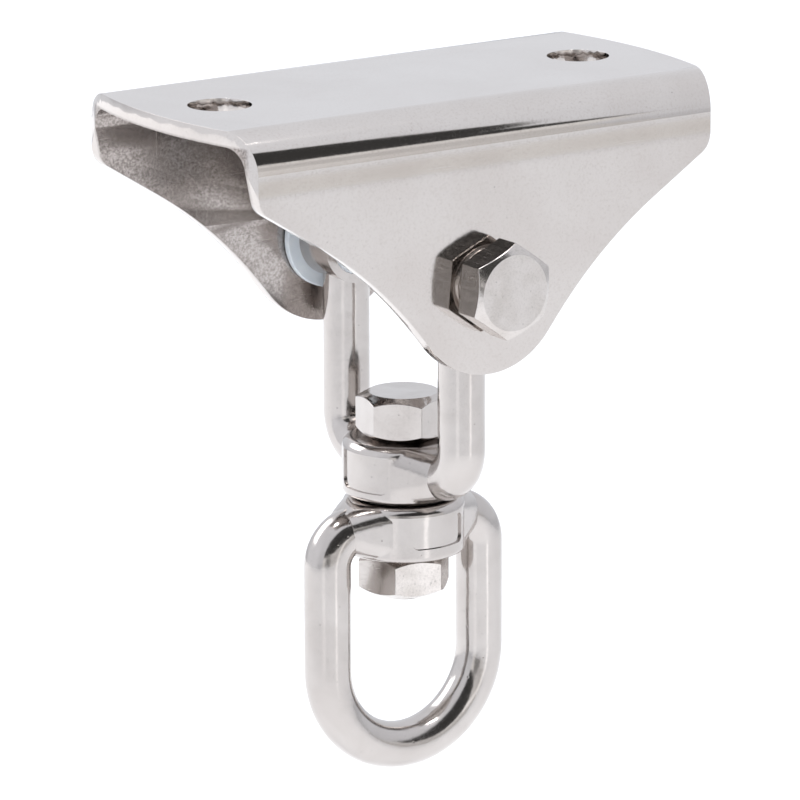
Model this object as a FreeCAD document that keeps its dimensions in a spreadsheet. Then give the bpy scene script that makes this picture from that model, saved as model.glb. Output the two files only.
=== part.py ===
import FreeCAD, Part
import math
import os

import Sketcher

# A swing hanger: a pressed saddle bracket, a pivot bolt, a round-bar shackle on plastic bushes, and a
# closed lower eye that turns on a headed swivel pin. Millimetres, +Z up. The origin is the middle of the
# bracket's top (mounting) face, X runs along the bracket and Y along the pivot bolt, whose head is at -Y.

DIMENSIONS = {
    # pressed bracket
    "bracket_length": 111.4,
    "bracket_end_length": 102.6,
    "bracket_width": 57.0,
    "sheet": 3.0,
    "bend_radius": 7.5,
    "mount_hole_pitch": 82.0,
    "mount_hole_diameter": 12.0,
    "bolt_drop": 34.3,
    "bolt_hole_diameter": 10.4,
    "ear_tip_radius": 17.0,
    "ear_knee_half_width": 25.0,
    "ear_knee_drop": 30.3,
    "ear_knee_radius": 90.0,
    "ear_shoulder_half_width": 50.8,
    "ear_shoulder_drop": 14.2,
    "ear_shoulder_radius": 4.0,
    "ear_top_half_width": 52.1,
    "end_trim_drop": 3.5,
    # M10 pivot bolt, washer and lock nut
    "thread_diameter": 10.0,
    "across_flats": 16.0,
    "head_height": 6.4,
    "washer_face_height": 1.6,
    "washer_face_diameter": 14.6,
    "bolt_length": 70.0,
    "head_turn": 35.7,
    "washer_diameter": 20.0,
    "washer_thickness": 2.0,
    "lock_nut_height": 10.0,
    "lock_nut_turn": 10.0,
    "lock_collar_diameter": 14.9,
    "insert_seat_height": 2.4,
    "insert_height": 2.1,
    "insert_diameter": 13.0,
    # flanged bushes
    "bush_flange_diameter": 20.4,
    "bush_flange_thickness": 1.5,
    "bush_sleeve_diameter": 12.0,
    "running_clearance": 0.07,
    # round-bar shackle and eye
    "rod_diameter": 9.0,
    "leg_half_pitch": 19.2,
    "eyelet_diameter": 15.4,
    "eyelet_thickness": 9.2,
    "leg_start": 2.0,
    "rod_bend_radius": 6.5,
    "collar_diameter": 23.6,
    "collar_height": 10.9,
    "collar_rim_radius": 2.0,
    "collar_foot_radius": 0.9,
    "upper_collar_drop": 69.0,
    "collar_gap": 0.6,
    "panel_depth": 0.4,
    "panel_angle": 61.0,
    "shackle_panel_height": 7.4,
    "shackle_panel_turn": 10.7,
    "shackle_panel_corner": 1.8,
    "eye_panel_height": 5.8,
    "eye_panel_turn": 4.0,
    "eye_panel_corner": 1.4,
    "eye_half_pitch": 17.7,
    "eye_bow_drop": 112.9,
    # flares that blend the bar into the collar: half widths, half heights and corners at three reaches
    "flare_inner_reach": 5.0,
    "flare_inner_width": 10.4,
    "flare_inner_height": 5.2,
    "flare_inner_corner": 2.2,
    "flare_middle_reach": 10.5,
    "flare_middle_width": 7.0,
    "flare_middle_height": 5.1,
    "flare_middle_corner": 3.4,
    "flare_outer_reach": 14.5,
    "flare_outer_width": 4.3,
    "flare_outer_height": 3.8,
    "flare_outer_corner": 3.4,
    "flare_blend_radius": 4.0,
    # swivel pin and nut
    "swivel_head_height": 8.7,
    "swivel_nut_height": 8.0,
    "swivel_head_turn": 17.7,
    "swivel_nut_turn": 45.5,
    "nut_clearance": 0.3,
    "pin_overhang": 1.0,
    "thread_chamfer": 1.0,
    "hex_chamfer_diameter": 14.4,
    "swivel_chamfer_diameter": 13.4,
    "hex_chamfer_angle": 30.0,
    # how far joined shapes run into each other, and how far a cut runs past what it cuts
    "overlap": 1.0,
    "cut_allowance": 10.0,
}

doc = FreeCAD.newDocument("SwingHanger")
sheet = doc.addObject("Spreadsheet::Sheet", "Dims")
for row, (alias, value) in enumerate(DIMENSIONS.items(), start=1):
    sheet.set(f"A{row}", alias)
    sheet.set(f"B{row}", str(value))
    sheet.setAlias(f"B{row}", alias)
doc.recompute()


def dims(text):
    """Put the sheet's name before every dimension in an expression."""
    words = []
    word = ""
    for letter in text + " ":
        if letter.isalnum() or letter == "_":
            word += letter
            continue
        words.append(f"Dims.{word}" if word in DIMENSIONS else word)
        words.append(letter)
        word = ""
    return "".join(words).strip()


def value_of(expression):
    """The number that an expression in the sheet's dimensions comes to."""
    result = sheet.evalExpression(dims(expression))
    return float(getattr(result, "Value", result))


def new_body(node):
    body = doc.addObject("PartDesign::Body", node)
    body.Label = node
    return body


def sketch_on(body, name, role, offset=None):
    """A sketch on one of the body's own origin planes, moved along the plane's normal by offset."""
    sketch = body.newObject("Sketcher::SketchObject", name)
    plane = next(feature for feature in body.Origin.OriginFeatures if feature.Role == role)
    sketch.AttachmentSupport = (plane, [""])
    sketch.MapMode = "FlatFace"
    if offset:
        sketch.setExpression("AttachmentOffset.Base.z", dims(offset))
    return sketch


def bind(sketch, constraint, name, expression):
    """Add a sized constraint and bind it to the sheet."""
    index = sketch.addConstraint(constraint)
    sketch.renameConstraint(index, name)
    sketch.setExpression(f"Constraints.{name}", dims(expression))


def pin_point(sketch, geometry, position, name, x, y):
    """Hold a point at (x, y), both given as expressions."""
    axes = ((x, "DistanceX", -2, "x"), (y, "DistanceY", -1, "y"))
    for expression, kind, axis, letter in axes:
        number = value_of(expression)
        if abs(number) < 1e-9:
            sketch.addConstraint(Sketcher.Constraint("PointOnObject", geometry, position, axis))
        else:
            constraint = Sketcher.Constraint(kind, -1, 1, geometry, position, number)
            bind(sketch, constraint, f"{name}_{letter}", expression)


def end_at(sketch, geometry, point):
    """Which end of a line or arc lies at the point: 1 for its start, 2 for its end."""
    return 1 if (sketch.getPoint(geometry, 1) - point).Length < 1e-6 else 2


def circle(sketch, name, x, y, diameter):
    centre = FreeCAD.Vector(value_of(x), value_of(y), 0)
    index = sketch.addGeometry(Part.Circle(centre, FreeCAD.Vector(0, 0, 1), value_of(diameter) / 2))
    pin_point(sketch, index, 3, name, x, y)
    bind(sketch, Sketcher.Constraint("Diameter", index, value_of(diameter)), f"{name}_across", diameter)


def polygon(sketch, name, corners, closed=True):
    """Lines through the corners (x, y) or (x, y, radius); a corner with a radius is rounded by an arc."""
    points = [FreeCAD.Vector(value_of(corner[0]), value_of(corner[1]), 0) for corner in corners]
    radii = [value_of(corner[2]) if len(corner) > 2 else 0.0 for corner in corners]
    count = len(points)
    arcs = {}
    before = {}
    after = {}
    for i in range(count):
        before[i] = after[i] = points[i]
        if radii[i] == 0:
            continue
        back = (points[i - 1] - points[i]).normalize()
        ahead = (points[(i + 1) % count] - points[i]).normalize()
        half = back.getAngle(ahead) / 2
        reach = radii[i] / math.tan(half)
        before[i] = points[i] + back * reach
        after[i] = points[i] + ahead * reach
        inward = (back + ahead).normalize()
        centre = points[i] + inward * (radii[i] / math.sin(half))
        middle = centre - inward * radii[i]
        arcs[i] = sketch.addGeometry(Part.Arc(before[i], middle, after[i]))
    sides = range(count if closed else count - 1)
    lines = {i: sketch.addGeometry(Part.LineSegment(after[i], before[(i + 1) % count])) for i in sides}
    for i in range(count):
        corner_name = f"{name}{i}"
        has_before = closed or i > 0
        has_after = closed or i < count - 1
        line_in = lines[(i - 1) % count] if has_before else None
        line_out = lines[i] if has_after else None
        if i not in arcs:
            if has_before and has_after:
                sketch.addConstraint(Sketcher.Constraint("Coincident", line_in, 2, line_out, 1))
            held = (line_out, 1) if has_after else (line_in, 2)
            pin_point(sketch, held[0], held[1], corner_name, corners[i][0], corners[i][1])
            continue
        virtual = sketch.addGeometry(Part.Point(points[i]), True)
        pin_point(sketch, virtual, 1, corner_name, corners[i][0], corners[i][1])
        sketch.addConstraint(Sketcher.Constraint("PointOnObject", virtual, 1, line_in))
        sketch.addConstraint(Sketcher.Constraint("PointOnObject", virtual, 1, line_out))
        start = end_at(sketch, arcs[i], before[i])
        end = 3 - start
        sketch.addConstraint(Sketcher.Constraint("Tangent", line_in, 2, arcs[i], start))
        sketch.addConstraint(Sketcher.Constraint("Tangent", arcs[i], end, line_out, 1))
        bind(sketch, Sketcher.Constraint("Radius", arcs[i], radii[i]), f"{corner_name}_radius", corners[i][2])


def feature(body, kind, name, sketch=None, **expressions):
    """A PartDesign feature on a sketch, with its sizes bound to the sheet."""
    item = body.newObject(f"PartDesign::{kind}", name)
    if sketch:
        item.Profile = sketch
        sketch.Visibility = False
    for size, expression in expressions.items():
        item.setExpression(size, dims(expression))
    return item


def pad(body, name, sketch, length, midplane=False):
    item = feature(body, "Pad", name, sketch, Length=length)
    item.Midplane = midplane
    return item


def cut_through(body, name, sketch, length):
    """A pocket of the given length, half to each side of its sketch."""
    item = feature(body, "Pocket", name, sketch, Length=length)
    item.Midplane = True
    return item


def turned(body, kind, name, sketch, angle="360"):
    """A Revolution or Groove about the sketch's vertical axis."""
    item = feature(body, kind, name, sketch, Angle=angle)
    item.ReferenceAxis = (sketch, ["V_Axis"])
    return item


def bar_along(body, name, path_sketch, profile_sketch):
    item = feature(body, "AdditivePipe", name, profile_sketch)
    item.Spine = (path_sketch, [])
    path_sketch.Visibility = False
    return item


def hexagon_prism(body, name, base, height, turn):
    """A hexagon across_flats wide, on the XY plane raised by base, turned by an angle in degrees."""
    sketch = sketch_on(body, f"{name}Outline", "XY_Plane", base)
    corner_radius = "across_flats / 2 / cos(30)"
    corners = []
    for i in range(6):
        angle = f"({turn} + {60 * i})"
        corners.append((f"{corner_radius} * cos({angle})", f"{corner_radius} * sin({angle})"))
    polygon(sketch, "p", corners)
    return pad(body, name, sketch, height)


def chamfer_hexagon(body, name, face, inward, diameter="hex_chamfer_diameter"):
    """Cut the corners of a hexagon back to a cone, as on a turned head. inward is 1 for a bottom face."""
    sketch = sketch_on(body, f"{name}Profile", "XZ_Plane")
    inner = f"{diameter} / 2"
    outer = "across_flats"
    drop = f"({outer} - {inner}) * tan(hex_chamfer_angle)"
    polygon(sketch, "c", [(inner, face), (outer, f"{face} + {inward} * {drop}"), (outer, face)])
    return turned(body, "Groove", name, sketch)


def stepped_profile(body, name, kind, steps, bore=None):
    """Turn a stepped outline about Z. steps is a list of (diameter, from_z, to_z), bottom first."""
    sketch = sketch_on(body, f"{name}Profile", "XZ_Plane")
    inner = f"({bore}) / 2" if bore else "0"
    corners = [(inner, steps[0][1])]
    for diameter, low, high in steps:
        corners.append((f"({diameter}) / 2", low))
        corners.append((f"({diameter}) / 2", high))
    corners.append((inner, steps[-1][2]))
    polygon(sketch, "s", corners)
    return turned(body, kind, name, sketch)


def bore_through(body, name, diameter, length):
    sketch = sketch_on(body, f"{name}Circle", "XY_Plane")
    circle(sketch, "b", "0", "0", diameter)
    return cut_through(body, name, sketch, length)


def lay_along_bolt(body, y):
    """Place a body that was made along Z so that its +Z points to +Y, starting at y on the bolt's axis."""
    body.Placement = FreeCAD.Placement(
        FreeCAD.Vector(0, value_of(y), -value_of("bolt_drop")),
        FreeCAD.Rotation(FreeCAD.Vector(1, 0, 0), -90),
    )
    body.setExpression("Placement.Base.y", dims(y))
    body.setExpression("Placement.Base.z", dims("-bolt_drop"))


def make_bracket():
    """A plate bent down into two ears, its ends bowed outward and its ears tapering to the bolt."""
    body = new_body("bracket")
    half = "bracket_width / 2"
    deep = "-(bolt_drop + ear_tip_radius + cut_allowance)"
    section = sketch_on(body, "BracketSection", "YZ_Plane")
    inner_radius = "bend_radius - sheet"
    polygon(section, "u", [
        (f"-{half}", deep),
        (f"-{half}", "0", "bend_radius"),
        (half, "0", "bend_radius"),
        (half, deep),
        (f"{half} - sheet", deep),
        (f"{half} - sheet", "-sheet", inner_radius),
        (f"sheet - {half}", "-sheet", inner_radius),
        (f"sheet - {half}", deep),
    ])
    pad(body, "BentPlate", section, "bracket_length + cut_allowance", midplane=True)

    # plan outline: both ends are arcs, bulging from bracket_end_length to bracket_length
    plan = sketch_on(body, "EndOutline", "XY_Plane")
    far_x = "bracket_length / 2 + cut_allowance"
    far_y = "bracket_width / 2"
    for side, name in ((1, "r"), (-1, "l")):
        end_x = f"{side} * bracket_end_length / 2"
        bow_x = f"{side} * bracket_length / 2"
        start = FreeCAD.Vector(value_of(end_x), -value_of(far_y), 0)
        middle = FreeCAD.Vector(value_of(bow_x), 0, 0)
        end = FreeCAD.Vector(value_of(end_x), value_of(far_y), 0)
        arc = plan.addGeometry(Part.Arc(start, middle, end))
        low = end_at(plan, arc, start)
        high = 3 - low
        outer_x = f"{side} * ({far_x})"
        corners = [(end_x, far_y), (outer_x, far_y), (outer_x, f"-{far_y}"), (end_x, f"-{far_y}")]
        first_line = plan.GeometryCount
        polygon(plan, name, corners, closed=False)
        plan.addConstraint(Sketcher.Constraint("Coincident", arc, high, first_line, 1))
        plan.addConstraint(Sketcher.Constraint("Coincident", arc, low, first_line + 2, 2))
        bow = plan.addGeometry(Part.Point(middle), True)
        pin_point(plan, bow, 1, f"{name}bow", bow_x, "0")
        plan.addConstraint(Sketcher.Constraint("PointOnObject", bow, 1, arc))
    cut_through(body, "BowedEnds", plan, f"-2 * ({deep})")

    # side outline of the ears: shoulder, concave knee, and a tip concentric with the bolt
    ears = sketch_on(body, "EarOutline", "XZ_Plane")
    above_knee = "bolt_drop - ear_knee_drop"
    knee_slope = (f"atan(({above_knee}) / ear_knee_half_width)"
                  f" + asin(ear_tip_radius / sqrt(ear_knee_half_width ^ 2 + ({above_knee}) ^ 2))")
    tip = f"-bolt_drop - ear_tip_radius / cos({knee_slope})"
    far_down = f"{deep} - cut_allowance"
    corners = []
    for side in (1, -1):
        corners.append([
            (f"{side} * ({far_x})", "-end_trim_drop"),
            (f"{side} * ear_top_half_width", "-bend_radius"),
            (f"{side} * ear_shoulder_half_width", "-ear_shoulder_drop", "ear_shoulder_radius"),
            (f"{side} * ear_knee_half_width", "-ear_knee_drop", "ear_knee_radius"),
        ])
    edge = corners[0] + [("0", tip, "ear_tip_radius")] + corners[1][::-1]
    waste = [(f"-({far_x})", far_down), (far_x, far_down)]
    polygon(ears, "e", edge + waste)
    cut_through(body, "TaperedEars", ears, "bracket_width + cut_allowance")

    holes = sketch_on(body, "MountHoles", "XY_Plane")
    circle(holes, "a", "mount_hole_pitch / 2", "0", "mount_hole_diameter")
    circle(holes, "b", "-mount_hole_pitch / 2", "0", "mount_hole_diameter")
    cut_through(body, "MountHolePair", holes, "cut_allowance")

    bolt_hole = sketch_on(body, "BoltHole", "XZ_Plane")
    circle(bolt_hole, "h", "0", "-bolt_drop", "bolt_hole_diameter")
    cut_through(body, "BoltHoles", bolt_hole, "bracket_width + cut_allowance")
    return body


def make_pivot_bolt():
    """An M10 hex bolt, made along Z from the top of its head and laid along Y."""
    body = new_body("pivot_bolt")
    hexagon_prism(body, "Head", "0", "head_height", "head_turn")
    chamfer_hexagon(body, "HeadChamfer", "0", 1)
    shank_start = "head_height + washer_face_height"
    end = f"{shank_start} + bolt_length"
    steps = [
        ("washer_face_diameter", "head_height - overlap", shank_start),
        ("thread_diameter", shank_start, f"{end} - thread_chamfer"),
    ]
    stepped_profile(body, "Shank", "Revolution", steps)
    tip = sketch_on(body, "TipProfile", "XZ_Plane")
    polygon(tip, "t", [
        ("0", f"{end} - thread_chamfer"),
        ("thread_diameter / 2", f"{end} - thread_chamfer"),
        ("thread_diameter / 2 - thread_chamfer", end),
        ("0", end),
    ])
    turned(body, "Revolution", "Tip", tip)
    lay_along_bolt(body, f"-bracket_width / 2 - ({shank_start})")
    return body


def make_pivot_washer():
    body = new_body("pivot_washer")
    steps = [("washer_diameter", "0", "washer_thickness")]
    stepped_profile(body, "Washer", "Revolution", steps, "bolt_hole_diameter")
    lay_along_bolt(body, "bracket_width / 2")
    return body


def make_lock_nut():
    """A hex nut whose outer end is a round collar, hollowed for the plastic ring."""
    body = new_body("pivot_lock_nut")
    hex_height = "lock_nut_height - insert_seat_height"
    hexagon_prism(body, "Nut", "0", hex_height, "lock_nut_turn")
    chamfer_hexagon(body, "NutChamferIn", "0", 1)
    chamfer_hexagon(body, "NutChamferOut", hex_height, -1)
    steps = [("lock_collar_diameter", f"{hex_height} - overlap", "lock_nut_height")]
    stepped_profile(body, "InsertCollar", "Revolution", steps)
    bore_through(body, "NutBore", "thread_diameter", "2 * (lock_nut_height + cut_allowance)")
    pocket = sketch_on(body, "InsertSeatCircle", "XY_Plane", f"{hex_height} + insert_seat_height / 2")
    circle(pocket, "i", "0", "0", "insert_diameter")
    cut_through(body, "InsertSeat", pocket, "insert_seat_height")
    lay_along_bolt(body, "bracket_width / 2 + washer_thickness")
    return body


def make_lock_insert():
    body = new_body("lock_nut_insert")
    steps = [("insert_diameter", "0", "insert_height")]
    stepped_profile(body, "Insert", "Revolution", steps, "thread_diameter")
    lay_along_bolt(body, "bracket_width / 2 + washer_thickness + lock_nut_height - insert_seat_height")
    return body


def make_bush(node, side):
    """A flanged bush: its sleeve fills the eyelet and its flange faces the ear. side is 1 at the back."""
    body = new_body(node)
    sleeve = "eyelet_thickness"
    bore = "thread_diameter + 2 * running_clearance"
    flange_top = f"{sleeve} + bush_flange_thickness"
    steps = [("bush_sleeve_diameter", "0", sleeve), ("bush_flange_diameter", sleeve, flange_top)]
    stepped_profile(body, "Bush", "Revolution", steps, bore)
    inner_end = "leg_half_pitch - eyelet_thickness / 2"
    lay_along_bolt(body, inner_end)
    if side < 0:
        turn = FreeCAD.Rotation(FreeCAD.Vector(1, 0, 0), 90)
        body.Placement = FreeCAD.Placement(body.Placement.Base, turn)
        body.setExpression("Placement.Base.y", dims(f"-({inner_end})"))
    return body


def collar(body, top):
    """The round boss that the swivel pin passes through, with rounded rims."""
    sketch = sketch_on(body, "CollarProfile", "XZ_Plane")
    polygon(sketch, "r", [
        ("0", top),
        ("collar_diameter / 2", top, "collar_rim_radius"),
        ("collar_diameter / 2", f"{top} - collar_height", "collar_foot_radius"),
        ("0", f"{top} - collar_height"),
    ])
    return turned(body, "Revolution", "Collar", sketch)


def flare(body, name, plane_role, side, level):
    """Blend the bar into the collar on one side, by a loft along the sketch plane's normal."""
    sections = []
    for place in ("inner", "middle", "outer"):
        sketch = sketch_on(body, f"{name}{place.title()}", plane_role, f"{side} * flare_{place}_reach")
        half_width = f"flare_{place}_width"
        low = f"{level} - flare_{place}_height"
        high = f"{level} + flare_{place}_height"
        corner = f"flare_{place}_corner"
        polygon(sketch, "l", [
            (f"-{half_width}", low, corner),
            (half_width, low, corner),
            (half_width, high, corner),
            (f"-{half_width}", high, corner),
        ])
        sketch.Visibility = False
        sections.append(sketch)
    loft = feature(body, "AdditiveLoft", name, sections[0])
    loft.Sections = sections[1:]
    return loft


def blend_flares(body, level):
    """Fillet the seams between the lofted flares and the collar's round side."""
    doc.recompute()
    joined = body.Tip
    owners = {}
    for face in joined.Shape.Faces:
        for edge in face.Edges:
            owners.setdefault(edge.hashCode(), set()).add(face.Surface.TypeId)
    flare_and_collar = {"Part::GeomBSplineSurface", "Part::GeomCylinder"}
    middle = value_of(level)
    seams = []
    for i, edge in enumerate(joined.Shape.Edges, start=1):
        near = abs(edge.CenterOfMass.z - middle) < value_of("collar_height")
        if near and owners[edge.hashCode()] == flare_and_collar:
            seams.append(f"Edge{i}")
    rounding = feature(body, "Fillet", "FlareBlends", Radius="flare_blend_radius")
    rounding.Base = (joined, seams)


def recess_panel(body, top, plane_role, part):
    """A shallow blank panel with round corners in the collar's side, about where it crosses the sketch's -X.

    part is the dimensions' prefix; part_panel_turn moves the panel on round the collar from there.
    """
    middle = f"{top} - collar_height / 2"
    sketch = sketch_on(body, "PanelProfile", plane_role)
    floor = "panel_depth - collar_diameter / 2"
    beyond = "-collar_diameter / 2 - overlap"
    low = f"{middle} - {part}_panel_height / 2"
    high = f"{middle} + {part}_panel_height / 2"
    polygon(sketch, "n", [(floor, low), (beyond, low), (beyond, high), (floor, high)])
    groove = turned(body, "Groove", "Panel", sketch, f"panel_angle / 2 + {part}_panel_turn")
    groove.Type = "TwoAngles"
    groove.setExpression("Angle2", dims(f"panel_angle / 2 - {part}_panel_turn"))
    doc.recompute()
    depth = value_of("panel_depth")
    corners = [i for i, edge in enumerate(groove.Shape.Edges, start=1) if abs(edge.Length - depth) < 1e-6]
    rounding = feature(body, "Fillet", "PanelCorners", Radius=f"{part}_panel_corner")
    rounding.Base = (groove, [f"Edge{i}" for i in corners])


def make_shackle():
    """The upper shackle: two legs that end in bored eyelets, bent in to a collar."""
    body = new_body("shackle")
    top = "-upper_collar_drop"
    arm = f"{top} - collar_height / 2"
    start = "-bolt_drop - leg_start"
    path = sketch_on(body, "LegPath", "YZ_Plane")
    polygon(path, "w", [
        ("leg_half_pitch", start),
        ("leg_half_pitch", arm, "rod_bend_radius"),
        ("-leg_half_pitch", arm, "rod_bend_radius"),
        ("-leg_half_pitch", start),
    ], closed=False)
    profile = sketch_on(body, "RodCircle", "XY_Plane", start)
    circle(profile, "o", "0", "leg_half_pitch", "rod_diameter")
    bar_along(body, "Legs", path, profile)

    for side, name in ((1, "Front"), (-1, "Back")):
        disc = sketch_on(body, f"{name}EyeletCircle", "XZ_Plane", f"{side} * leg_half_pitch")
        circle(disc, "y", "0", "-bolt_drop", "eyelet_diameter")
        pad(body, f"{name}Eyelet", disc, "eyelet_thickness", midplane=True)
    collar(body, top)
    flare(body, "FrontFlare", "XZ_Plane", 1, arm)
    flare(body, "BackFlare", "XZ_Plane", -1, arm)
    blend_flares(body, arm)

    bores = sketch_on(body, "EyeletBores", "XZ_Plane")
    circle(bores, "z", "0", "-bolt_drop", "bush_sleeve_diameter")
    cut_through(body, "EyeletBore", bores, "bracket_width")
    bore_through(body, "PinBore", "thread_diameter", "2 * (upper_collar_drop + collar_height + cut_allowance)")
    recess_panel(body, top, "XZ_Plane", "shackle")
    return body


def make_swivel_eye():
    """The lower eye: a closed loop of round bar with its own collar."""
    body = new_body("swivel_eye")
    top = "-(upper_collar_drop + collar_height + collar_gap)"
    arm = f"{top} - collar_height / 2"
    bow = "-eye_bow_drop"
    path = sketch_on(body, "LoopPath", "XZ_Plane")
    polygon(path, "w", [
        ("eye_half_pitch", bow),
        ("eye_half_pitch", arm, "rod_bend_radius"),
        ("-eye_half_pitch", arm, "rod_bend_radius"),
        ("-eye_half_pitch", bow),
    ], closed=False)
    right_end = FreeCAD.Vector(value_of("eye_half_pitch"), value_of(bow), 0)
    left_end = FreeCAD.Vector(-right_end.x, right_end.y, 0)
    bottom = FreeCAD.Vector(0, right_end.y - right_end.x, 0)
    first_line = next(i for i, item in enumerate(path.Geometry) if isinstance(item, Part.LineSegment))
    last_line = max(i for i, item in enumerate(path.Geometry) if isinstance(item, Part.LineSegment))
    arc = path.addGeometry(Part.Arc(left_end, bottom, right_end))
    left = end_at(path, arc, left_end)
    path.addConstraint(Sketcher.Constraint("Coincident", arc, left, last_line, 2))
    path.addConstraint(Sketcher.Constraint("Coincident", arc, 3 - left, first_line, 1))
    bind(path, Sketcher.Constraint("DistanceY", -1, 1, arc, 3, value_of(bow)), "bow_centre", bow)
    profile = sketch_on(body, "RodCircle", "XY_Plane", bow)
    circle(profile, "o", "eye_half_pitch", "0", "rod_diameter")
    bar_along(body, "Loop", path, profile)
    collar(body, top)
    flare(body, "RightFlare", "YZ_Plane", 1, arm)
    flare(body, "LeftFlare", "YZ_Plane", -1, arm)
    bore_length = f"2 * (collar_height + cut_allowance / 2 - ({top}))"
    bore_through(body, "PinBore", "thread_diameter + 2 * running_clearance", bore_length)
    recess_panel(body, top, "YZ_Plane", "eye")
    return body


def make_swivel_pin():
    """A round pin with a hex head chamfered at both ends, threaded into the nut below."""
    body = new_body("swivel_pin")
    bottom = "-upper_collar_drop"
    top = f"{bottom} + swivel_head_height"
    hexagon_prism(body, "Head", bottom, "swivel_head_height", "swivel_head_turn")
    chamfer_hexagon(body, "HeadChamferTop", top, -1, "swivel_chamfer_diameter")
    chamfer_hexagon(body, "HeadChamferUnder", bottom, 1, "swivel_chamfer_diameter")
    nut_top = "-(upper_collar_drop + 2 * collar_height + collar_gap + nut_clearance)"
    end = f"{nut_top} - swivel_nut_height - pin_overhang"
    sketch = sketch_on(body, "ShankProfile", "XZ_Plane")
    polygon(sketch, "t", [
        ("0", end),
        ("thread_diameter / 2 - thread_chamfer", end),
        ("thread_diameter / 2", f"{end} + thread_chamfer"),
        ("thread_diameter / 2", f"{bottom} + overlap"),
        ("0", f"{bottom} + overlap"),
    ])
    turned(body, "Revolution", "Shank", sketch)
    return body


def make_swivel_nut():
    body = new_body("swivel_nut")
    top = "-(upper_collar_drop + 2 * collar_height + collar_gap + nut_clearance)"
    bottom = f"{top} - swivel_nut_height"
    hexagon_prism(body, "Nut", bottom, "swivel_nut_height", "swivel_nut_turn")
    chamfer_hexagon(body, "NutChamferTop", top, -1, "swivel_chamfer_diameter")
    chamfer_hexagon(body, "NutChamferUnder", bottom, 1, "swivel_chamfer_diameter")
    bore_through(body, "NutBore", "thread_diameter", "4 * upper_collar_drop")
    return body


bodies = [
    make_bracket(),
    make_pivot_bolt(),
    make_pivot_washer(),
    make_lock_nut(),
    make_lock_insert(),
    make_bush("bush_front", -1),
    make_bush("bush_back", 1),
    make_shackle(),
    make_swivel_pin(),
    make_swivel_nut(),
    make_swivel_eye(),
]
doc.recompute()

for item in doc.Objects:
    if "Invalid" in item.State or "Error" in item.State:
        raise RuntimeError(f"{item.Name} failed: {item.State}")
os.makedirs("parts", exist_ok=True)
for body in bodies:
    shape = body.Shape
    if shape.isNull() or not shape.isValid() or len(shape.Solids) != 1:
        raise RuntimeError(f"{body.Label} is not one valid solid")
    shape.exportStep(f"parts/{body.Label}.step")
    print(f"{body.Label}: {shape.Volume:.1f} mm3, box {shape.BoundBox}")
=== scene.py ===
import math

import bpy
from mathutils import Matrix, Vector


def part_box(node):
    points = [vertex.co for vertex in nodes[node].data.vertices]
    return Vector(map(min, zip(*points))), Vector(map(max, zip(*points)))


# Looks for a stainless swing hanger: a tumbled saddle bracket, polished swivel forgings, plain hex
# fasteners and nylon bushes, in a white studio. Metres, in the CAD's frame.

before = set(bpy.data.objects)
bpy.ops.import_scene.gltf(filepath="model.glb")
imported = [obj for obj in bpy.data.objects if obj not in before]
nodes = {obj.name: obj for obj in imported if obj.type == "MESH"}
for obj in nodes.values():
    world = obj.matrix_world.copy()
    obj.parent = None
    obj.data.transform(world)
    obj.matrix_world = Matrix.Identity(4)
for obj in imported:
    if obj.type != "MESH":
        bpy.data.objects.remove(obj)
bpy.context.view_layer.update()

MM = 0.001

# The camera: a long lens, to the left of the bolt head's side and a little above.
CAMERA_PLACE = Vector((-0.63142, -0.91181, 0.21947))
CAMERA_HEADING = math.radians(34.67)
CAMERA_TILT = math.radians(14.25)
CAMERA_ROLL = math.radians(-0.17)
CAMERA_LENS_MM = 270.0
SENSOR_MM = 36.0
CLIP_START = 0.05
CLIP_END = 50

# The bracket's plate and the distance of its inner faces from the middle.
SHEET = 3 * MM
INNER_FACE = 25.5 * MM

# How wide the pieces' edges are rounded.
PLATE_EDGE = 0.55 * MM
PIN_EDGE = 0.5 * MM
BUSH_EDGE = 0.25 * MM
FASTENER_EDGE = 0.22 * MM
WASHER_EDGE = 0.2 * MM
INSERT_EDGE = 0.15 * MM
WELD_REACH = 0.002 * MM
FLAT_ANGLE = math.radians(0.3)
EDGE_ANGLE = math.radians(32)
EDGE_STEPS = 3

# Heights on the bracket: where the painted shade on its inner faces deepens, and where the press mark
# under the bends starts and ends. Below the mark the plate stands this many bump depths proud of the
# bend.
SHADE_DEEPENS_LOW, SHADE_DEEPENS_HIGH = -28 * MM, -20 * MM
MARK_LOW, MARK_HIGH = -12.5 * MM, -7.5 * MM
MARK_RISE = 15

# Bump depths.
PLATE_RELIEF = 0.012 * MM
BAR_RELIEF = 0.08 * MM
FASTENER_RELIEF = 0.012 * MM
NYLON_RELIEF = 0.004 * MM

# Metal and plastic colours: a pair where the colour is patchy, and single ones for grain, lines and pits.
PLATE_BRIGHT = (0.600, 0.563, 0.538), (0.566, 0.525, 0.499)
PLATE_GRAIN = (0.50, 0.455, 0.425)
# Painted shade for the plate's faces between the ears, grained, and deeper shade towards the bends.
PLATE_INSIDE_SHADE = (0.480, 0.444, 0.424), (0.320, 0.288, 0.272)
PLATE_BEND_SHADE = (0.42, 0.38, 0.36), (0.22, 0.195, 0.18)
PLATE_PIT = (0.22, 0.20, 0.19)
BAR_BRIGHT = (0.524, 0.492, 0.472), (0.476, 0.442, 0.422)
BAR_PIT = (0.30, 0.28, 0.27)
FASTENER_BRIGHT = (0.576, 0.541, 0.519), (0.510, 0.475, 0.449)
FASTENER_LINE = (0.44, 0.41, 0.39)
FASTENER_PIT = (0.24, 0.22, 0.21)
WHITE_NYLON = (0.74, 0.80, 0.86), (0.80, 0.85, 0.89)
BLUE_NYLON = (0.05, 0.12, 0.42), (0.07, 0.16, 0.50)
NYLON_GLOW = 0.5
NYLON_GLOW_REACH = 0.8 * MM

# The hanger hangs well above the floor, as it does in use.
FLOOR_DROP = 0.30
FLOOR_HALF = 2.3
FLOOR_GREY = 0.95
FLOOR_ROUGHNESS = 0.9

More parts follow.
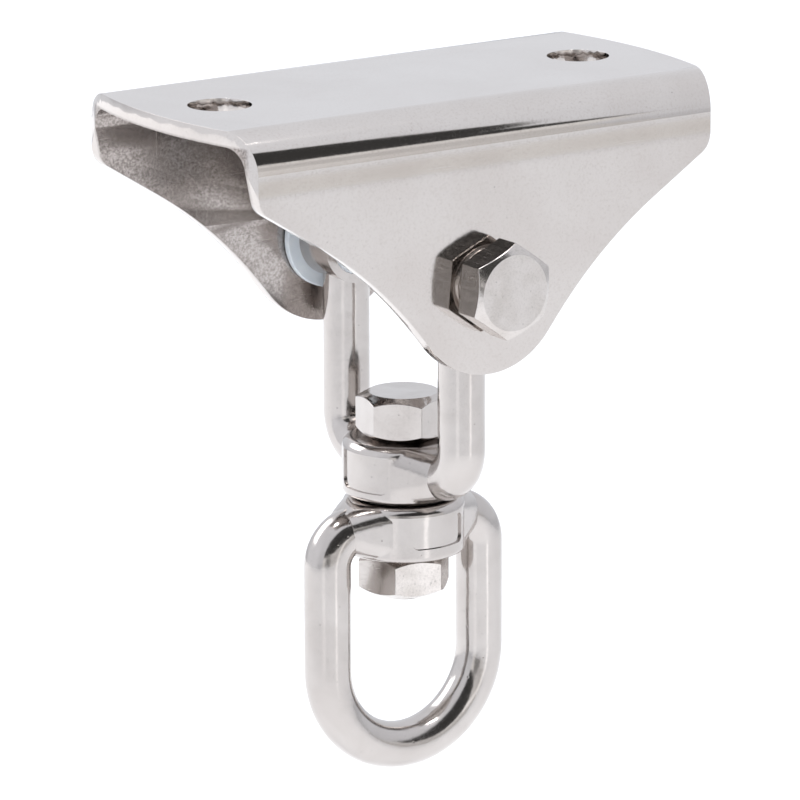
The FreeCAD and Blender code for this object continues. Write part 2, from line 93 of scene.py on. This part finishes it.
# The tent round it: greys by height, from 0 straight down to 1 straight up, on the open side, where the
# camera stands, and on the closed side. The closed side starts where a direction's Y and this share of
# its X pass the edge, and it has a cool tint.
WORLD_STRENGTH = 1.45
OPEN_SIDE = ((0.0, 0.68), (0.44, 0.68), (0.46, 0.54), (0.51, 0.54), (0.54, 0.68),
             (0.580, 0.72), (0.590, 0.04), (0.92, 0.04), (0.95, 0.75), (1.0, 0.80))
CLOSED_SIDE = ((0.0, 0.65), (0.43, 0.65), (0.45, 0.54), (0.48, 0.54), (0.52, 0.65),
               (0.72, 0.70), (0.90, 0.74), (1.0, 0.80))
SIDE_LEAN = 0.12
SIDE_EDGE = -0.635, -0.605
UNTINTED = (1.0, 1.0, 1.0)
COOL_TINT = (0.97, 1.0, 1.06)

# Two patches over the tent, each (direction, edge angle, full angle, grey). The gap is laid on only in
# part, by its share.
LAMP_PATCH = (-0.80, 0.50, 0.20), 46, 30, 0.78
GAP_PATCH = (-0.589, -0.797, -0.08), 17, 10, 0.10
GAP_SHARE = 0.7

# The lamps: name, place, aim, size and radiance.
LAMPS = (
    ("ceiling_left", (-0.50, -0.04, 1.5), (-0.50, -0.04, 0), (0.42, 0.42), 17),
    ("ceiling_right", (0.15, -0.48, 1.5), (0.60, -1.00, 0), (0.36, 0.42), 27),
    ("ceiling_back", (-1.0, 2.4, 1.5), (-0.4, 2.2, 0), (2.0, 2.0), 3.0),
    ("strip_left", (-0.80, -0.61, -0.20), (0, 0, -0.20), (0.26, 0.45), 0.22),
    ("strip_right", (0.16, -0.99, -0.20), (0, 0, -0.20), (0.16, 0.45), 0.60),
)


def material(name):
    """A new material with its tree and its Principled shader."""
    made = bpy.data.materials.new(name)
    made.use_nodes = True
    tree = made.node_tree
    return made, tree, tree.nodes["Principled BSDF"]


def place(tree, stretch=(1, 1, 1), turn=(0, 0, 0)):
    """Object coordinates in metres, turned by angles in degrees and then stretched."""
    coords = tree.nodes.new("ShaderNodeTexCoord")
    mapping = tree.nodes.new("ShaderNodeMapping")
    mapping.vector_type = "POINT"
    mapping.inputs["Scale"].default_value = stretch
    mapping.inputs["Rotation"].default_value = [math.radians(angle) for angle in turn]
    tree.links.new(coords.outputs["Object"], mapping.inputs["Vector"])
    return mapping.outputs["Vector"]


def noise(tree, vector, grain, detail=3.0, distortion=0.0):
    """Noise from 0 to 1 whose features are about grain metres across."""
    node = tree.nodes.new("ShaderNodeTexNoise")
    node.inputs["Scale"].default_value = 1 / grain
    node.inputs["Detail"].default_value = detail
    node.inputs["Distortion"].default_value = distortion
    tree.links.new(vector, node.inputs["Vector"])
    return node.outputs["Fac"]


def spots(tree, vector, spacing, radius, softness):
    """1 inside scattered round spots, 0 outside. radius and softness are shares of the spacing."""
    node = tree.nodes.new("ShaderNodeTexVoronoi")
    node.inputs["Scale"].default_value = 1 / spacing
    tree.links.new(vector, node.inputs["Vector"])
    return stretched(tree, node.outputs["Distance"], radius, radius - softness, 0.0, 1.0)


def stretched(tree, value, low, high, to_low, to_high, kind="LINEAR"):
    """Value mapped from low..high to to_low..to_high, held at the ends. low may be above high."""
    node = tree.nodes.new("ShaderNodeMapRange")
    node.interpolation_type = kind
    node.inputs["From Min"].default_value = min(low, high)
    node.inputs["From Max"].default_value = max(low, high)
    node.inputs["To Min"].default_value = to_low if low <= high else to_high
    node.inputs["To Max"].default_value = to_high if low <= high else to_low
    tree.links.new(value, node.inputs["Value"])
    return node.outputs["Result"]


def combine(tree, operation, first, second):
    """Two values through one Math operation; either may be a plain number."""
    node = tree.nodes.new("ShaderNodeMath")
    node.operation = operation
    for socket, value in zip(node.inputs, (first, second)):
        if isinstance(value, (int, float)):
            socket.default_value = value
        else:
            tree.links.new(value, socket)
    return node.outputs["Value"]


def total(tree, *values):
    """The sum of the values."""
    result = values[0]
    for value in values[1:]:
        result = combine(tree, "ADD", result, value)
    return result


def share(tree, value, amount):
    """Value times a plain number."""
    return combine(tree, "MULTIPLY", value, amount)


def coloured(sockets):
    """The colour sockets among a Mix node's sockets, which has others of the same names."""
    return [socket for socket in sockets if socket.type == "RGBA"]


def mixed_colour(tree, factor, first, second):
    """First colour where factor is 0 and second where it is 1; either may be a socket."""
    node = tree.nodes.new("ShaderNodeMix")
    node.data_type = "RGBA"
    tree.links.new(factor, node.inputs["Factor"])
    for socket, value in zip(coloured(node.inputs), (first, second)):
        if isinstance(value, tuple):
            socket.default_value = (*value, 1.0)
        else:
            tree.links.new(value, socket)
    return coloured(node.outputs)[0]


def multiplied_colour(tree, first, second):
    """Two colour sockets multiplied."""
    node = tree.nodes.new("ShaderNodeMix")
    node.data_type = "RGBA"
    node.blend_type = "MULTIPLY"
    node.inputs["Factor"].default_value = 1.0
    for socket, value in zip(coloured(node.inputs), (first, second)):
        tree.links.new(value, socket)
    return coloured(node.outputs)[0]


def raised(tree, shader, height, depth):
    """Bump the shader by height, where 1 stands depth metres above 0."""
    node = tree.nodes.new("ShaderNodeBump")
    node.inputs["Distance"].default_value = depth
    node.inputs["Strength"].default_value = 1.0
    tree.links.new(height, node.inputs["Height"])
    tree.links.new(node.outputs["Normal"], shader.inputs["Normal"])


def inside_channel(tree):
    """1 on the faces between the bracket's ears and 0 outside it, and the height on the piece."""
    coords = tree.nodes.new("ShaderNodeTexCoord")
    split = tree.nodes.new("ShaderNodeSeparateXYZ")
    tree.links.new(coords.outputs["Object"], split.inputs["Vector"])
    off_middle = combine(tree, "ABSOLUTE", split.outputs["Y"], 0)
    between = stretched(tree, off_middle, INNER_FACE, INNER_FACE + MM, 1, 0)
    below = stretched(tree, split.outputs["Z"], -SHEET, MM / 2 - SHEET, 1, 0)
    return combine(tree, "MULTIPLY", between, below), split.outputs["Z"]


def tumbled_plate():
    """Bright tumbled stainless plate: a speckled grain, pits, hairline scratches and faint patches."""
    made, tree, shader = material("tumbled_plate")
    everywhere = place(tree)
    inside, upward = inside_channel(tree)
    grain = noise(tree, everywhere, 0.45 * MM, 4)
    ripple = noise(tree, everywhere, 4 * MM, 2)
    patches = noise(tree, everywhere, 22 * MM, 3, 0.6)
    pits = combine(tree, "MULTIPLY", spots(tree, everywhere, 1.9 * MM, 0.13, 0.11),
                   stretched(tree, noise(tree, everywhere, 2.3 * MM, 1), 0.55, 0.75, 0, 1))
    hair_one = noise(tree, place(tree, (0.03, 1, 1), (0, 24, 0)), 0.35 * MM, 2)
    hair_two = noise(tree, place(tree, (1, 1, 0.03), (0, -33, 12)), 0.4 * MM, 2)
    scratches = combine(tree, "MAXIMUM", stretched(tree, hair_one, 0.69, 0.78, 0, 1),
                        stretched(tree, hair_two, 0.70, 0.80, 0, 1))
    bright = mixed_colour(tree, stretched(tree, patches, 0.35, 0.65, 0, 1), *PLATE_BRIGHT)
    grained = mixed_colour(tree, stretched(tree, grain, 0.50, 0.80, 0, 0.6), bright, PLATE_GRAIN)
    # Painted shade: the faces between the ears take darker grained tones, darker still towards the bends.
    inside_shade = mixed_colour(tree, stretched(tree, grain, 0.35, 0.65, 0, 1), *PLATE_INSIDE_SHADE)
    dark = mixed_colour(tree, stretched(tree, grain, 0.35, 0.65, 0, 1), *PLATE_BEND_SHADE)
    high_up = stretched(tree, upward, SHADE_DEEPENS_LOW, SHADE_DEEPENS_HIGH, 0, 1, "SMOOTHSTEP")
    faced = mixed_colour(tree, inside, grained, mixed_colour(tree, high_up, inside_shade, dark))
    tree.links.new(mixed_colour(tree, stretched(tree, pits, 0, 1, 0, 0.6), faced, PLATE_PIT),
                   shader.inputs["Base Color"])
    shader.inputs["Metallic"].default_value = 1.0
    roughness = total(tree, stretched(tree, patches, 0.3, 0.7, 0.07, 0.10),
                      stretched(tree, grain, 0.4, 0.75, 0, 0.07),
                      stretched(tree, scratches, 0, 1, 0, 0.12),
                      share(tree, inside, 0.12))
    tree.links.new(roughness, shader.inputs["Roughness"])
    height = total(tree, share(tree, grain, 0.16), share(tree, ripple, 0.5),
                   share(tree, pits, -0.8), share(tree, scratches, -0.12),
                   stretched(tree, upward, MARK_LOW, MARK_HIGH, MARK_RISE, 0, "SMOOTHSTEP"))
    raised(tree, shader, height, PLATE_RELIEF)
    return made


def polished_bar():
    """Bright forged stainless: a mirror with hammered-out waves, faint haze and polishing lines."""
    made, tree, shader = material("polished_bar")
    everywhere = place(tree)
    wave = noise(tree, everywhere, 5.5 * MM, 2, 0.4)
    grain = noise(tree, everywhere, 0.5 * MM, 3)
    haze = noise(tree, everywhere, 9 * MM, 3, 0.8)
    lines = noise(tree, place(tree, (1, 1, 0.05)), 0.3 * MM, 2)
    pits = spots(tree, everywhere, 2.2 * MM, 0.12, 0.1)
    bright = mixed_colour(tree, stretched(tree, haze, 0.35, 0.7, 0, 1), *BAR_BRIGHT)
    tree.links.new(mixed_colour(tree, stretched(tree, pits, 0, 1, 0, 0.4), bright, BAR_PIT),
                   shader.inputs["Base Color"])
    shader.inputs["Metallic"].default_value = 1.0
    roughness = total(tree, stretched(tree, haze, 0.35, 0.7, 0.12, 0.18),
                      stretched(tree, grain, 0.45, 0.75, 0, 0.08),
                      stretched(tree, lines, 0.6, 0.8, 0, 0.06))
    tree.links.new(roughness, shader.inputs["Roughness"])
    height = total(tree, wave, share(tree, grain, 0.05), share(tree, pits, -0.25))
    raised(tree, shader, height, BAR_RELIEF)
    return made


def plain_fastener():
    """Cold-formed stainless: satin flats with fine drawing lines, faint patches and dark pits."""
    made, tree, shader = material("plain_fastener")
    everywhere = place(tree)
    grain = noise(tree, everywhere, 0.4 * MM, 4)
    patches = noise(tree, everywhere, 5 * MM, 3, 0.5)
    drawn = noise(tree, place(tree, (1, 0.06, 1)), 0.45 * MM, 3)
    pits = spots(tree, everywhere, 1.7 * MM, 0.13, 0.1)
    bright = mixed_colour(tree, stretched(tree, patches, 0.35, 0.65, 0, 1), *FASTENER_BRIGHT)
    lined = mixed_colour(tree, stretched(tree, drawn, 0.5, 0.8, 0, 0.45), bright, FASTENER_LINE)
    tree.links.new(mixed_colour(tree, stretched(tree, pits, 0, 1, 0, 0.5), lined, FASTENER_PIT),
                   shader.inputs["Base Color"])
    shader.inputs["Metallic"].default_value = 1.0
    roughness = total(tree, stretched(tree, patches, 0.35, 0.65, 0.15, 0.22),
                      stretched(tree, drawn, 0.45, 0.75, 0, 0.09))
    tree.links.new(roughness, shader.inputs["Roughness"])
    height = total(tree, share(tree, grain, 0.3), share(tree, drawn, 0.5), share(tree, pits, -0.7))
    raised(tree, shader, height, FASTENER_RELIEF)
    return made


def moulded_nylon(name, colour, shade):
    """Slightly translucent moulded plastic with faint flow patches and a fine satin grain."""
    made, tree, shader = material(name)
    everywhere = place(tree)
    flow = noise(tree, everywhere, 4 * MM, 2, 1.2)
    grain = noise(tree, everywhere, 0.25 * MM, 3)
    tree.links.new(mixed_colour(tree, stretched(tree, flow, 0.3, 0.7, 0, 1), colour, shade),
                   shader.inputs["Base Color"])
    tree.links.new(stretched(tree, grain, 0.3, 0.7, 0.32, 0.46), shader.inputs["Roughness"])
    shader.inputs["Subsurface Weight"].default_value = NYLON_GLOW
    shader.inputs["Subsurface Radius"].default_value = (1.0, 1.0, 1.0)
    shader.inputs["Subsurface Scale"].default_value = NYLON_GLOW_REACH
    raised(tree, shader, grain, NYLON_RELIEF)
    return made


def studio_floor():
    """Plain matt white."""
    made, tree, shader = material("studio_floor")
    shader.inputs["Base Color"].default_value = (FLOOR_GREY, FLOOR_GREY, FLOOR_GREY, 1.0)
    shader.inputs["Roughness"].default_value = FLOOR_ROUGHNESS
    shader.inputs["Specular IOR Level"].default_value = 0.0
    return made


def soften(piece, width):
    """Round a piece's sharp edges by width, so that they catch the light."""
    weld = piece.modifiers.new("Join", "WELD")
    weld.merge_threshold = WELD_REACH
    flat = piece.modifiers.new("Flats", "DECIMATE")
    flat.decimate_type = "DISSOLVE"
    flat.angle_limit = FLAT_ANGLE
    bevel = piece.modifiers.new("Edges", "BEVEL")
    bevel.width = width
    bevel.segments = EDGE_STEPS
    bevel.limit_method = "ANGLE"
    bevel.angle_limit = EDGE_ANGLE
    bevel.harden_normals = True


def finish_node(name, made, width=0.0):
    """Give a CAD piece its material, and rounded edges if it has a width for them."""
    piece = nodes[name]
    piece.data.materials.clear()
    piece.data.materials.append(made)
    if width:
        soften(piece, width)


def make_floor():
    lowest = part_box("swivel_eye")[0].z - FLOOR_DROP
    bpy.ops.mesh.primitive_plane_add(size=2 * FLOOR_HALF, location=(0, 0, lowest))
    floor = bpy.context.object
    floor.name = "floor"
    floor.data.materials.append(studio_floor())


def softbox(name, place_at, aim, size, radiance):
    """A rectangular lamp of the given radiance that lights and is reflected, but isn't seen itself."""
    light = bpy.data.lights.new(name, "AREA")
    light.shape = "RECTANGLE"
    light.size, light.size_y = size
    light.energy = radiance * math.pi * size[0] * size[1]
    holder = bpy.data.objects.new(name, light)
    holder.location = place_at
    holder.rotation_mode = "QUATERNION"
    holder.rotation_quaternion = (Vector(aim) - Vector(place_at)).to_track_quat("-Z", "Y")
    holder.visible_camera = False
    bpy.context.scene.collection.objects.link(holder)


def graded(tree, value, stops):
    """Greys along a value, from (position, grey) stops."""
    ramp = tree.nodes.new("ShaderNodeValToRGB")
    ramp.color_ramp.interpolation = "EASE"
    band = ramp.color_ramp.elements
    while len(band) < len(stops):
        band.new(1.0)
    for stop, (position, grey) in zip(band, stops):
        stop.position = position
        stop.color = (grey, grey, grey, 1.0)
    tree.links.new(value, ramp.inputs["Fac"])
    return ramp.outputs["Color"]


def patch(tree, direction, edge, middle):
    """1 near a direction and 0 away from it.

    edge and middle are the angles from it, in degrees, where it starts and fills.
    """
    coords = tree.nodes.new("ShaderNodeTexCoord")
    node = tree.nodes.new("ShaderNodeVectorMath")
    node.operation = "DOT_PRODUCT"
    tree.links.new(coords.outputs["Generated"], node.inputs[0])
    node.inputs[1].default_value = Vector(direction).normalized()
    outer = math.cos(math.radians(edge))
    inner = math.cos(math.radians(middle))
    return stretched(tree, node.outputs["Value"], outer, inner, 0, 1)


def make_surroundings():
    """A white tent, open on the camera's side, where a dark band shows between wall and ceiling."""
    world = bpy.data.worlds.new("studio")
    bpy.context.scene.world = world
    world.use_nodes = True
    tree = world.node_tree
    coords = tree.nodes.new("ShaderNodeTexCoord")
    split = tree.nodes.new("ShaderNodeSeparateXYZ")
    tree.links.new(coords.outputs["Generated"], split.inputs["Vector"])
    height = stretched(tree, split.outputs["Z"], -1, 1, 0, 1)
    open_side = graded(tree, height, OPEN_SIDE)
    closed_side = graded(tree, height, CLOSED_SIDE)
    across = total(tree, share(tree, split.outputs["X"], SIDE_LEAN), split.outputs["Y"])
    side = stretched(tree, across, *SIDE_EDGE, 0, 1)
    *lamp_shape, lamp_grey = LAMP_PATCH
    lamp = patch(tree, *lamp_shape)
    walls = mixed_colour(tree, lamp, mixed_colour(tree, side, open_side, closed_side), (lamp_grey,) * 3)
    *gap_shape, gap_grey = GAP_PATCH
    gap = patch(tree, *gap_shape)
    shaded = mixed_colour(tree, share(tree, gap, GAP_SHARE), walls, (gap_grey,) * 3)
    cool = mixed_colour(tree, side, UNTINTED, COOL_TINT)
    background = tree.nodes["Background"]
    tree.links.new(multiplied_colour(tree, shaded, cool), background.inputs["Color"])
    background.inputs["Strength"].default_value = WORLD_STRENGTH
    for lamp_facts in LAMPS:
        softbox(*lamp_facts)


def make_camera():
    camera = bpy.data.objects.new("camera", bpy.data.cameras.new("camera"))
    camera.data.lens = CAMERA_LENS_MM
    camera.data.sensor_width = SENSOR_MM
    camera.data.clip_start = CLIP_START
    camera.data.clip_end = CLIP_END
    level = math.cos(CAMERA_TILT)
    forward = Vector((math.sin(CAMERA_HEADING) * level, math.cos(CAMERA_HEADING) * level,
                      -math.sin(CAMERA_TILT)))
    roll = Matrix.Rotation(CAMERA_ROLL, 3, "Z")
    turned = forward.to_track_quat("-Z", "Y").to_matrix() @ roll
    camera.rotation_mode = "QUATERNION"
    camera.rotation_quaternion = turned.to_quaternion()
    camera.location = CAMERA_PLACE
    bpy.context.scene.collection.objects.link(camera)
    bpy.context.scene.camera = camera


plate = tumbled_plate()
bar = polished_bar()
fastener = plain_fastener()
white_nylon = moulded_nylon("white_nylon", *WHITE_NYLON)
blue_nylon = moulded_nylon("blue_nylon", *BLUE_NYLON)

finish_node("bracket", plate, PLATE_EDGE)
for name in ("shackle", "swivel_eye"):
    finish_node(name, bar)
for name in ("pivot_bolt", "pivot_lock_nut", "swivel_nut"):
    finish_node(name, fastener, FASTENER_EDGE)
finish_node("swivel_pin", bar, PIN_EDGE)
finish_node("pivot_washer", fastener, WASHER_EDGE)
for name in ("bush_front", "bush_back"):
    finish_node(name, white_nylon, BUSH_EDGE)
finish_node("lock_nut_insert", blue_nylon, INSERT_EDGE)

make_floor()
make_surroundings()
make_camera()
bpy.context.scene.view_settings.view_transform = "Standard"
